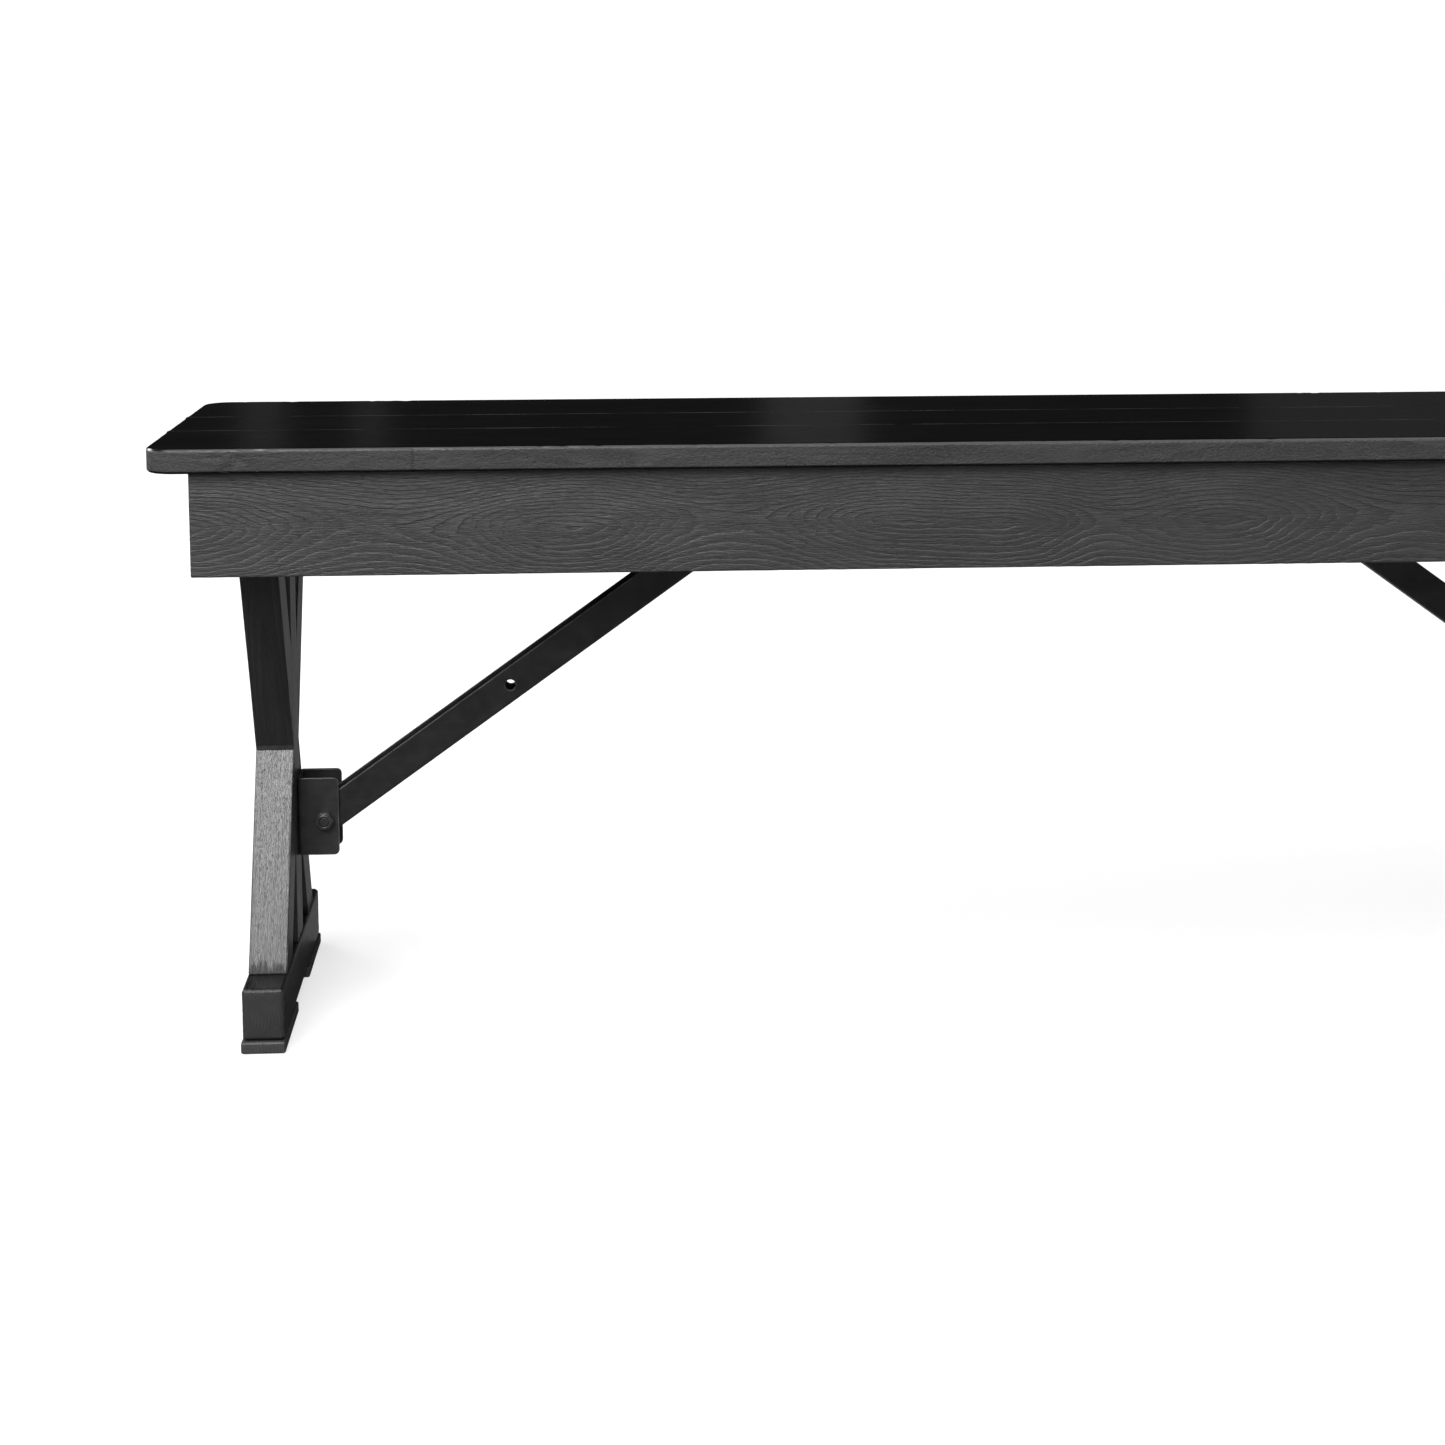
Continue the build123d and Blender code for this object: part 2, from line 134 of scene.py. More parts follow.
def ridge(turns):
    """Height of the raised grain from 0 to 1: a quick rise, then a long fall."""
    phase = turns - np.floor(turns)
    rise = smoothstep(0, RIDGE_PEAK, phase)
    fall = (1 - phase) / (1 - RIDGE_PEAK)
    return np.minimum(rise, fall)


def wood(axes, origin, signs, pith, spacing, height, seed, eyes=(), extra=None, wander=1.0):
    """How one board is cut from its tree: a function that gives its relief at any points.

    axes are the world axes that run along, across and into it, origin and signs the corner
    and the way that they start. pith is where the pith lies across it and how deep, spacing
    the width of a ring and height how far its grain stands out. extra(points, normals) adds
    to how far it moves out.
    """

    def place(points):
        return np.column_stack([(points[:, a] - o) * s for a, o, s in zip(axes, origin, signs)])

    def relief(points, normals):
        at = place(points)
        turns = ring_turns(at, pith, spacing, seed, eyes, wander)
        strength = 0.66 + 0.34 * noise(at, (0.10, 0.016, 0.016), seed + 4)
        strength = strength + 0.30 * noise(at, (0.022, 0.004, 0.004), seed + 8)
        out = height * strength * (ridge(turns) - RIDGE_LEVEL)
        out = out + SWELLING * noise(at, (0.05, 0.02, 0.02), seed + 5)
        corner = np.clip((1 - np.abs(normals).max(axis=1)) / CORNER_TURN, 0, 1)
        rub = 0.5 + 0.5 * noise(points, (0.012, 0.012, 0.012), seed + 6)
        out = out - corner * rub * WORN_CORNER
        if extra is not None:
            out = out + extra(points, normals)
        return out, turns, at + BOARD_SHIFT * (seed % 17)

    return relief


# ---- Boards: fine grids over a box with rounded edges ----
ROUND = np.tan(np.radians([45, 30, 15, 0]))  # grid lines that share a rounded edge evenly
MARGIN = len(ROUND) - 1  # the grid steps across a rounded edge
SEAM_LINES = np.array([-1.0, -0.45, 0, 0.45, 1.0]) * MM  # grid lines about a seam
SEAM_CLEAR = 1.3 * MM  # no other grid line comes this near to a seam
STRIP = 12  # a plain side's wide faces span this many grid lines
UPRIGHT_LIMITS = (0.10, 0.35)  # a face is upright while its normal rises less than this


def cuts(low, high, edges, step, marks=()):
    """Grid lines across one axis, close together at both rounded edges and at each mark."""
    first = low + edges[0] * (1 - ROUND)
    last = high - edges[1] * (1 - ROUND[::-1])
    count = max(1, round((last[0] - first[-1]) / step))
    inner = np.linspace(first[-1], last[0], count + 1)[1:-1]
    for mark in marks:
        inner = inner[np.abs(inner - mark) > SEAM_CLEAR]
        inner = np.concatenate([inner, mark + SEAM_LINES])
    return np.concatenate([first, np.sort(inner), last])


def surface_grid(lines, plain, long_axis):
    """Vertices and faces over a box whose grid lines are given for each axis.

    Sides named in plain, as (axis, way), get only wide strips between their edges.
    """
    counts = [len(line) for line in lines]
    grid = np.indices(counts)
    used = np.zeros(counts, dtype=bool)
    for axis in range(3):
        used |= (grid[axis] == 0) | (grid[axis] == counts[axis] - 1)
    for axis, way in plain:
        inside = grid[axis] == (counts[axis] - 1 if way > 0 else 0)
        for other in {0, 1, 2} - {axis}:
            inside &= (grid[other] > MARGIN) & (grid[other] < counts[other] - 1 - MARGIN)
        used &= ~inside
    index = np.full(counts, -1)
    index[used] = np.arange(used.sum())
    points = np.column_stack([lines[a][grid[a][used]] for a in range(3)])

    faces = []
    for axis in range(3):
        for way in (-1, 1):
            sheet = index.take(counts[axis] - 1 if way > 0 else 0, axis=axis)
            if axis == 1:
                sheet = sheet.T
            corners = [sheet[:-1, :-1], sheet[1:, :-1], sheet[1:, 1:], sheet[:-1, 1:]]
            quads = np.stack(corners, axis=-1).reshape(-1, 4)
            quads = quads[(quads >= 0).all(axis=1)]
            faces.extend((quads if way > 0 else quads[:, ::-1]).tolist())
            if (axis, way) in plain:  # its strips follow one another along the long axis
                if (axis + 1) % 3 == long_axis:
                    faces.extend(strips(sheet, way < 0))
                else:
                    faces.extend(strips(sheet.T, way > 0))
    return points, faces


def strips(sheet, turned):
    """Wide faces that fill the middle of a plain side, one after another along it."""
    last, top = sheet.shape[0] - 1 - MARGIN, sheet.shape[1] - 1 - MARGIN
    stops = list(range(MARGIN, last, STRIP)) + [last]
    faces = []
    for start, stop in zip(stops[:-1], stops[1:]):
        low_side = sheet[start:stop + 1, MARGIN].tolist()
        high_side = sheet[start:stop + 1, top].tolist()[::-1]
        far_end = sheet[last, MARGIN + 1:top].tolist() if stop == last else []
        near_end = sheet[MARGIN, MARGIN + 1:top].tolist()[::-1] if start == MARGIN else []
        face = low_side + far_end + high_side + near_end
        faces.append(face[::-1] if turned else face)
    return faces


def round_box(points, low, high, edge):
    """Moves points of a box's surface to rounded edges, and gives their normals."""
    inner = np.clip(points, np.asarray(low) + edge, np.asarray(high) - edge)
    away = points - inner
    normals = away / np.linalg.norm(away, axis=1, keepdims=True)
    return inner + normals * edge, normals


def add_mesh(name, points, faces, smooth=True):
    mesh = bpy.data.meshes.new(name)
    mesh.from_pydata(points.tolist(), [], faces)
    mesh.polygons.foreach_set("use_smooth", [smooth] * len(mesh.polygons))
    mesh.update()
    piece = bpy.data.objects.new(name, mesh)
    bpy.context.scene.collection.objects.link(piece)
    return piece


def store(piece, name, kind, values):
    """Keeps values for each vertex, for the material to read."""
    layer = piece.data.attributes.new(name, kind, "POINT")
    field = "value" if kind == "FLOAT" else "vector"
    layer.data.foreach_set(field, values.astype(np.float32).ravel())


def add_board(
    name, box, edge, steps, relief, plain=(), long_axis=0,
    seams=(), rounding=None, bend=None, painted_shade_and_dark_end=None,
):
    """A board that fills a box: rounded, raised along its grain, and then bent if asked.

    edge is the radius of its edges, or a pair of them for each axis, and then rounding gives
    the rounded points and their normals. painted_shade_and_dark_end(points) is how far each
    point takes the darker paint in place of the upright faces' paint, from 0 to 1: painted
    shade on the upper arms' outer faces, and a darker bottom end on the lower arms.
    """
    low, high = np.asarray(box[0]), np.asarray(box[1])
    edges = [(edge, edge)] * 3 if np.isscalar(edge) else edge
    lines = []
    for axis in range(3):
        marks = seams if axis == long_axis else ()
        lines.append(cuts(low[axis], high[axis], edges[axis], steps[axis], marks))
    points, faces = surface_grid(lines, set(plain), long_axis)
    if rounding is None:
        points, normals = round_box(points, low, high, edge)
    else:
        points, normals = rounding(points)
    out, turns, at = relief(points, normals)
    points = points + normals * out[:, None]
    upright = 1 - smoothstep(*UPRIGHT_LIMITS, np.abs(normals[:, 2]))
    # the darker paint in place of the upright faces' paint: painted shade on the upper arms, and
    # darker ends on the lower arms
    if painted_shade_and_dark_end is not None:
        upright = upright * (1 - painted_shade_and_dark_end(points))
    if bend is not None:
        points = bend(points)
    piece = add_mesh(name, points, faces)
    store(piece, "turns", "FLOAT", turns)
    store(piece, "board", "FLOAT_VECTOR", at)
    store(piece, "upright", "FLOAT", upright)
    return piece


def stand_in(piece, node, body, material):
    """Puts a Blender piece in the place of a CAD node."""
    piece.data.materials.append(material)
    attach(piece, body)
    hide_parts(node)


# ---- Materials ----
PAINTED_PEAK = 0.16  # as RIDGE_PEAK, for the fine ridge that the paint shows on each ring


def new_material(name):
    """A material, its node tree and its shader node."""
    material = bpy.data.materials.new(name)
    material.use_nodes = True
    tree = material.node_tree
    return material, tree, tree.nodes["Principled BSDF"]


def join(tree, value, socket):
    """Feeds a socket from another node's output, or sets it to a number."""
    if isinstance(value, bpy.types.NodeSocket):
        tree.links.new(value, socket)
    else:
        socket.default_value = value


def stretched(tree, source, feature):
    """Coordinates measured in features of a size in metres per axis."""
    node = tree.nodes.new("ShaderNodeMapping")
    node.inputs["Scale"].default_value = [1 / size for size in feature]
    tree.links.new(source, node.inputs["Vector"])
    return node.outputs["Vector"]


def texture(tree, source, feature, detail=2.0, rough=0.55):
    """Noise from 0 to 1 with a feature size in metres per axis."""
    node = tree.nodes.new("ShaderNodeTexNoise")
    node.inputs["Scale"].default_value = 1.0
    node.inputs["Detail"].default_value = detail
    node.inputs["Roughness"].default_value = rough
    tree.links.new(stretched(tree, source, feature), node.inputs["Vector"])
    return node.outputs["Fac"]


def remap(tree, value, old, new, kind="LINEAR"):
    """The old range laid over the new one, and held at its ends."""
    node = tree.nodes.new("ShaderNodeMapRange")
    node.interpolation_type = kind
    for key, number in zip(("From Min", "From Max", "To Min", "To Max"), (*old, *new)):
        node.inputs[key].default_value = number
    tree.links.new(value, node.inputs["Value"])
    return node.outputs["Result"]


def maths(tree, operation, first, second=0.0):
    node = tree.nodes.new("ShaderNodeMath")
    node.operation = operation
    join(tree, first, node.inputs[0])
    join(tree, second, node.inputs[1])
    return node.outputs["Value"]


def blend_of(tree, *parts):
    """A weighted sum of (value, weight) pairs."""
    total = 0.0
    for value, weight in parts:
        total = maths(tree, "ADD", maths(tree, "MULTIPLY", value, weight), total)
    return total


def mixed(tree, factor, first, second, kind):
    """A mix of two colours ("RGBA") or two numbers ("VALUE")."""
    node = tree.nodes.new("ShaderNodeMix")
    node.data_type = "RGBA" if kind == "RGBA" else "FLOAT"
    tree.links.new(factor, node.inputs["Factor"])
    ends = [socket for socket in node.inputs if socket.type == kind and socket.name in ("A", "B")]
    join(tree, first, ends[0])
    join(tree, second, ends[1])
    return next(socket for socket in node.outputs if socket.type == kind)


def two_greys(tree, factor, dark, light):
    """A grey between two, which are linear values."""
    return mixed(tree, factor, (dark, dark, dark, 1), (light, light, light, 1), "RGBA")


def bumped(tree, height, depth, normal=None):
    """A normal from a height of 0 to 1 and its depth in metres."""
    node = tree.nodes.new("ShaderNodeBump")
    node.inputs["Distance"].default_value = depth
    node.inputs["Strength"].default_value = 1.0
    tree.links.new(height, node.inputs["Height"])
    if normal is not None:
        tree.links.new(normal, node.inputs["Normal"])
    return node.outputs["Normal"]


def attribute(tree, name, output):
    """What add_board stored in a board's vertices under a name."""
    node = tree.nodes.new("ShaderNodeAttribute")
    node.attribute_name = name
    return node.outputs[output]


def painted_wood(
    name, greys, rough, ring_depth, fibre_depth,
    fibre_length=11 * MM, specular=0.5, upright=None, pit_depth=0.45 * MM,
):
    """Black paint over open grain: rings from the board's own count, fibres along it.

    greys are its darkest and lightest, and rough its lowest and highest roughness. upright
    is (greys, rough) for upright faces, if they differ, and pit_depth is how deep the pits
    in them are. Feature sizes are in metres, along, across and into the board.
    """
    material, tree, shader = new_material(name)
    at = attribute(tree, "board", "Vector")
    phase = maths(tree, "FRACT", attribute(tree, "turns", "Fac"))
    rise = remap(tree, phase, (0, PAINTED_PEAK), (0, 1), "SMOOTHSTEP")
    fall = remap(tree, phase, (PAINTED_PEAK, 1), (1, 0))
    ring = maths(tree, "MINIMUM", rise, fall)
    uneven = remap(tree, texture(tree, at, (0.07, 0.012, 0.012)), (0.35, 0.62), (0.25, 1))
    ring = maths(tree, "MULTIPLY", ring, uneven)
    fibre = texture(tree, at, (fibre_length, 0.0009, 0.0009), 3.0, 0.6)
    pores = remap(tree, texture(tree, at, (0.004, 0.0005, 0.0005), 1.0), (0.52, 0.75), (0, 1))
    cloud = texture(tree, at, (0.10, 0.04, 0.04), 3.0)

    tone = blend_of(tree, (ring, 0.30), (fibre, 0.40), (cloud, 0.45), (pores, -0.25))
    tone = remap(tree, tone, (0.20, 0.75), (0, 1))
    colour = two_greys(tree, tone, *greys)
    gloss = blend_of(tree, (fibre, 0.45), (cloud, 0.35), (pores, 0.30))
    gloss = remap(tree, gloss, (0.25, 0.65), (0, 1))
    roughness = remap(tree, gloss, (0, 1), rough)
    if upright is not None:
        # the upright faces' share, with painted shade taken out of it on the upper arms
        share = attribute(tree, "upright", "Fac")
        colour = mixed(tree, share, colour, two_greys(tree, tone, *upright[0]), "RGBA")
        roughness = mixed(tree, share, roughness, remap(tree, gloss, (0, 1), upright[1]), "VALUE")
    tree.links.new(colour, shader.inputs["Base Color"])
    tree.links.new(roughness, shader.inputs["Roughness"])
    grain = bumped(tree, ring, ring_depth)
    grain = bumped(tree, blend_of(tree, (fibre, 1.0), (pores, -0.35)), fibre_depth, grain)
    if upright is not None:
        pits = texture(tree, at, (0.0028, 0.0028, 0.0015), 3.0, 0.65)
        pits = remap(tree, pits, (0.36, 0.52), (0, 1))
        grain = bumped(tree, maths(tree, "MULTIPLY", pits, share), pit_depth, grain)
    tree.links.new(grain, shader.inputs["Normal"])
    shader.inputs["Specular IOR Level"].default_value = specular
    return material


def carried_wood(name, axis, greys, rough):
    """The same paint for the CAD boards under the top, with its grain along one axis."""
    material, tree, shader = new_material(name)
    where = tree.nodes.new("ShaderNodeTexCoord").outputs["Object"]
    fibre_feature = [0.0011] * 3
    fibre_feature[axis] = 0.016
    ring_feature = [0.006] * 3
    ring_feature[axis] = 0.12
    fibre = texture(tree, where, fibre_feature, 3.0, 0.6)
    rings = texture(tree, where, ring_feature, 2.0)
    ring = maths(tree, "FRACT", maths(tree, "MULTIPLY", rings, 6.0))
    cloud = texture(tree, where, (0.06, 0.06, 0.06), 3.0)
    tone = remap(tree, blend_of(tree, (ring, 0.2), (fibre, 0.5), (cloud, 0.4)), (0.25, 0.8), (0, 1))
    tree.links.new(two_greys(tree, tone, *greys), shader.inputs["Base Color"])
    tree.links.new(remap(tree, fibre, (0.3, 0.7), rough), shader.inputs["Roughness"])
    grain = bumped(tree, ring, 0.12 * MM)
    tree.links.new(bumped(tree, fibre, 0.12 * MM, grain), shader.inputs["Normal"])
    return material


def coated_steel(
    name, greys, rough, peel_depth, arris, edge_wear_and_highlight=(0.09, 0.18), metallic=0.0, specular=0.5
):
    """Powder-coated or plated steel: fine orange peel, scuffs and scratches.

    arris is the radius that the edges are softened by, and edge_wear_and_highlight their lighter
    greys: worn coat, and a painted highlight along every edge.
    """
    material, tree, shader = new_material(name)
    where = tree.nodes.new("ShaderNodeTexCoord").outputs["Object"]
    peel = texture(tree, where, (0.0009,) * 3, 2.0)
    scuff = texture(tree, where, (0.012,) * 3, 5.0, 0.7)
    scratch = texture(tree, where, (0.020, 0.0006, 0.0012), 2.0)
    cloud = texture(tree, where, (0.05,) * 3, 3.0)
    tone = blend_of(tree, (scuff, 0.5), (cloud, 0.4), (scratch, 0.2))
    tone = remap(tree, tone, (0.40, 0.75), (0, 1))
    rounded = tree.nodes.new("ShaderNodeBevel")
    rounded.samples = 6
    rounded.inputs["Radius"].default_value = arris
    turned = tree.nodes.new("ShaderNodeVectorMath")
    turned.operation = "DOT_PRODUCT"
    tree.links.new(rounded.outputs["Normal"], turned.inputs[0])
    tree.links.new(tree.nodes.new("ShaderNodeNewGeometry").outputs["True Normal"], turned.inputs[1])
    # lighter edges: worn coat, and a painted highlight on every rounded edge
    worn = remap(tree, turned.outputs["Value"], (0.985, 0.88), (0, 1))
    worn = maths(tree, "MULTIPLY", worn, remap(tree, scuff, (0.35, 0.60), (0.3, 1)))
    colour = mixed(tree, worn, two_greys(tree, tone, *greys), two_greys(tree, tone, *edge_wear_and_highlight), "RGBA")
    tree.links.new(colour, shader.inputs["Base Color"])
    gloss = blend_of(tree, (scuff, 0.6), (scratch, 0.4))
    tree.links.new(remap(tree, gloss, (0.35, 0.65), rough), shader.inputs["Roughness"])
    peeled = bumped(tree, peel, peel_depth, rounded.outputs["Normal"])
    tree.links.new(peeled, shader.inputs["Normal"])
    shader.inputs["Metallic"].default_value = metallic
    shader.inputs["Specular IOR Level"].default_value = specular
    return material


# Greys and roughness of upright faces, where they differ from the rest of a board.
SAWN = ((0.012, 0.034), (0.42, 0.62))
LEG_SIDES = ((0.011, 0.026), (0.26, 0.42))
FOOT_SIDES = ((0.014, 0.034), (0.28, 0.44))

TOP_PAINT = painted_wood(
    "top_paint", (0.0012, 0.0036), (0.14, 0.26), 0.03 * MM, 0.06 * MM, upright=SAWN
)
FRAME_PAINT = painted_wood("frame_paint", (0.012, 0.034), (0.36, 0.55), 0.34 * MM, 0.55 * MM)
# Its darker greys also give the painted shade of the upper arms' outer faces.
LEG_PAINT = painted_wood(
    "leg_paint", (0.002, 0.006), (0.60, 0.75), 0.10 * MM, 0.28 * MM,
    fibre_length=40 * MM, specular=0.85, upright=LEG_SIDES, pit_depth=0.02 * MM,
)
# The foot's top takes these darker greys, and its upright sides FOOT_SIDES: black paint, darkened
# further on the top as painted shade.
FOOT_PAINT = painted_wood(
    "foot_paint", (0.002, 0.006), (0.24, 0.36), 0.10 * MM, 0.28 * MM,
    fibre_length=40 * MM, upright=FOOT_SIDES, pit_depth=0.02 * MM,
)
PAD_PAINT = painted_wood("pad_paint", (0.022, 0.052), (0.30, 0.48), 0.10 * MM, 0.30 * MM)
UNDER_Y = carried_wood("paint_along_y", 1, (0.014, 0.030), (0.45, 0.62))
UNDER_X = carried_wood("paint_along_x", 0, (0.014, 0.030), (0.45, 0.62))
STEEL = coated_steel(
    "black_steel", (0.010, 0.020), (0.28, 0.42), 0.04 * MM, 1.4 * MM, specular=0.6
)
BRACKET_STEEL = coated_steel(
    "bracket_steel", (0.016, 0.030), (0.30, 0.46), 0.05 * MM, 1.4 * MM, specular=0.6
)
FASTENER = coated_steel(
    "black_fastener", (0.06, 0.14), (0.22, 0.38), 0.03 * MM, 0.5 * MM, metallic=0.7
)
PIN_STEEL = coated_steel(
    "pin_steel", (0.35, 0.55), (0.22, 0.40), 0.03 * MM, 0.5 * MM, edge_wear_and_highlight=(0.5, 0.7), metallic=1.0
)


# ---- Top: three planks ----
TOP_EDGE = 2.5 * MM
UNDER_EDGE = 2.2 * MM
JOINT_EDGE = 0.8 * MM
PLAN_CORNER = 22 * MM
SEAM = 192 * MM  # from the left end to the seam where two lengths of the front plank meet
SEAM_WIDTH = 0.6 * MM
SEAM_DEPTH = (0.05 * MM, 0.6 * MM)  # all along the seam, and how much more in the sawn face
# Each worn spot's place from the left end, and how far it reaches.
WORN_SPOTS = ((0.062, 0.016), (0.088, 0.007), (0.205, 0.006), (1.31, 0.02), (2.30, 0.03))
SIDE_REACH = 3 * MM  # a point this near to the top's long side belongs to its sawn face
PIT_DEPTH = 0.22 * MM
SAW_MARKS = 0.03 * MM
DENT_DEPTH = 1.1 * MM
CHIP_DEPTH = 1.0 * MM
CHIP_REACH = (4 * MM, 2.6 * MM)  # how far the chips reach in from the side, and down it
PLANK_STEPS = (3.0 * MM, 2.4 * MM, 1.0 * MM)
PLANK_RINGS = (5 * MM, 0.05 * MM)  # the width of a ring, and how far its grain stands out
PLANK_PITH = 38 * MM
PLANK_EYES = [(0.3 + 0.55 * number, 0.16, 20 * MM) for number in range(5)]  # as FRONT_EYES
PLANK_SEEDS = {"plank_front": 11, "plank_middle": 23, "plank_rear": 37}


def plank_rounding(low, high, front, rear):
    """Rounds a plank's edges: large outside, small at the joints, with the slab's corners."""

    def edge_at(points):
        edge = np.where(points[:, 2] > (low[2] + high[2]) / 2, TOP_EDGE, UNDER_EDGE)
        for side in (low[1], high[1]):
            if front < side < rear:
                clear = smoothstep(1 * MM, 5 * MM, np.abs(points[:, 1] - side))
                edge = JOINT_EDGE + (edge - JOINT_EDGE) * clear
        return edge[:, None]

    def rounding(points):
        edge = edge_at(points)
        inner = np.clip(points, low + edge, high - edge)
        for x_end, x_way in ((low[0], 1), (high[0], -1)):
            for y_side, y_way in ((low[1], 1), (high[1], -1)):
                if front < y_side < rear:
                    continue
                centre = np.array([x_end + x_way * PLAN_CORNER, y_side + y_way * PLAN_CORNER])
                spoke = points[:, :2] - centre
                inside = (spoke[:, 0] * x_way < 0) & (spoke[:, 1] * y_way < 0)
                spoke = spoke[inside]
                length = np.linalg.norm(spoke, axis=1, keepdims=True)
                spoke = spoke * np.abs(spoke).max(axis=1, keepdims=True) / length
                points[inside, :2] = centre + spoke
                length = np.linalg.norm(spoke, axis=1, keepdims=True)
                reach = np.minimum(1, (PLAN_CORNER - edge[inside]) / np.maximum(length, 1e-9))
                inner[inside, :2] = centre + spoke * reach
        away = points - inner
        normals = away / np.linalg.norm(away, axis=1, keepdims=True)
        return inner + normals * edge, normals

    return rounding


def plank_wear(low, high, seed, front, rear, seams, worn):
    """Pits and worn spots on the sawn long sides, chips along their top edges, and seams."""

    def extra(points, normals):
        to_side = np.minimum(points[:, 1] - front, rear - points[:, 1])
        side = smoothstep(0.5, 0.95, np.abs(normals[:, 1])) * (to_side < SIDE_REACH)
        pits = smoothstep(0.25, 0.8, noise(points, (3.4 * MM, 4 * MM, 1.6 * MM), seed + 20))
        patches = 0.35 + 0.65 * smoothstep(-0.2, 0.5, noise(points, (0.09, 0.05, 0.05), seed + 21))
        out = -side * pits * patches * PIT_DEPTH
        under_top = high[2] - points[:, 2]
        arris = np.exp(-((under_top / CHIP_REACH[1]) ** 2)) * (to_side < CHIP_REACH[0])
        chips = smoothstep(0.30, 0.75, noise(points, (5 * MM, 20 * MM, 3 * MM), seed + 22))
        runs = smoothstep(0.05, 0.5, noise(points, (0.10, 1, 1), seed + 23))
        out = out - arris * chips * runs * CHIP_DEPTH
        for place, reach in worn:
            near = np.exp(-(((points[:, 0] - place) / reach) ** 2))
            dents = smoothstep(0.05, 0.6, noise(points, (4.5 * MM, 6 * MM, 3.2 * MM), seed + 25))
            out = out - side * near * dents * DENT_DEPTH
        out = out + side * SAW_MARKS * noise(points, (1.9 * MM, 4 * MM, 0.05), seed + 24)
        for seam in seams:
            groove = SEAM_DEPTH[0] + SEAM_DEPTH[1] * side
            out = out - groove * np.exp(-(((points[:, 0] - seam) / SEAM_WIDTH) ** 2))
        return out

    return extra


def make_top():
    """The three planks. A plank's side that lies between front and rear is at a joint."""
    front = cad_box[0][1] + 0.1 * MM
    rear = cad_box[1][1] - 0.1 * MM
    for node, seed in PLANK_SEEDS.items():
        low, high = (np.asarray(corner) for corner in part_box(node))
        seams = (low[0] + SEAM,) if node == "plank_front" else ()
        worn = [(low[0] + place, reach) for place, reach in WORN_SPOTS]
        extra = plank_wear(low, high, seed, front, rear, seams, worn)
        pith = ((high[1] - low[1]) * (0.2 + 0.03 * (seed % 17)), PLANK_PITH)
        corner = (low[0], low[1], high[2])
        relief = wood((0, 1, 2), corner, (1, 1, -1), pith, *PLANK_RINGS, seed, PLANK_EYES, extra)
        sides = [JOINT_EDGE if front < side < rear else TOP_EDGE for side in (low[1], high[1])]
        piece = add_board(
            f"{node}_board", (low, high), ((TOP_EDGE, TOP_EDGE), sides, (UNDER_EDGE, TOP_EDGE)),
            PLANK_STEPS, relief, [(2, -1)],
            seams=seams, rounding=plank_rounding(low, high, front, rear),
        )
        stand_in(piece, node, "top", TOP_PAINT)


# ---- Aprons ----
# Along each apron, from its left or front end: where each figure in the grain is, how far
# it reaches, and how much nearer to the face the pith comes there.
FRONT_EYES = (
    (-0.015, 0.085, 0.024),
    (0.276, 0.078, 0.025),
    (0.515, 0.070, 0.025),
    (0.600, 0.050, 0.018),
    (0.745, 0.080, 0.017),
    (1.150, 0.090, 0.024),
    (1.420, 0.110, 0.022),
    (1.830, 0.080, 0.025),
    (2.130, 0.120, 0.023),
)
REAR_EYES = (
    (0.20, 0.09, 0.023),
    (0.62, 0.13, 0.021),
    (1.10, 0.08, 0.025),
    (1.62, 0.11, 0.024),
    (2.20, 0.08, 0.020),
)
END_EYES = ((0.16, 0.07, 0.022),)
LONG_RINGS = (2.4 * MM, 0.21 * MM)  # the width of a ring, and how far its grain stands out
END_RINGS = (2.6 * MM, 0.25 * MM)
LONG_STEPS = (3.3 * MM, 6 * MM, 0.74 * MM)
END_STEPS = (6 * MM, 2.0 * MM, 0.74 * MM)
BOARD_EDGE = 1.0 * MM


def make_aprons():
    """Two long aprons and two short ones, each with a plain inner side."""
    long_aprons = (("apron_front", -1, 41, FRONT_EYES), ("apron_rear", 1, 53, REAR_EYES))
    for node, way, seed, eyes in long_aprons:
        low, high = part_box(node)
        corner = (low[0], low[2], low[1] if way < 0 else high[1])
        pith = (0.46 * (high[2] - low[2]), 30 * MM)
        relief = wood((0, 2, 1), corner, (1, 1, -way), pith, *LONG_RINGS, seed, eyes)
        plain = [(1, -way), (2, 1)]
        piece = add_board(f"{node}_board", (low, high), BOARD_EDGE, LONG_STEPS, relief, plain)
        stand_in(piece, node, "top", FRAME_PAINT)
    for node, way, seed in (("apron_left", -1, 61), ("apron_right", 1, 67)):
        low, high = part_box(node)
        corner = (low[1], low[2], low[0] if way < 0 else high[0])
        pith = (0.4 * (high[2] - low[2]), 28 * MM)
        relief = wood((1, 2, 0), corner, (1, 1, -way), pith, *END_RINGS, seed, END_EYES)
        piece = add_board(
            f"{node}_board", (low, high), BOARD_EDGE, END_STEPS, relief, [(0, -way)], long_axis=1
        )
        stand_in(piece, node, "top", FRAME_PAINT)


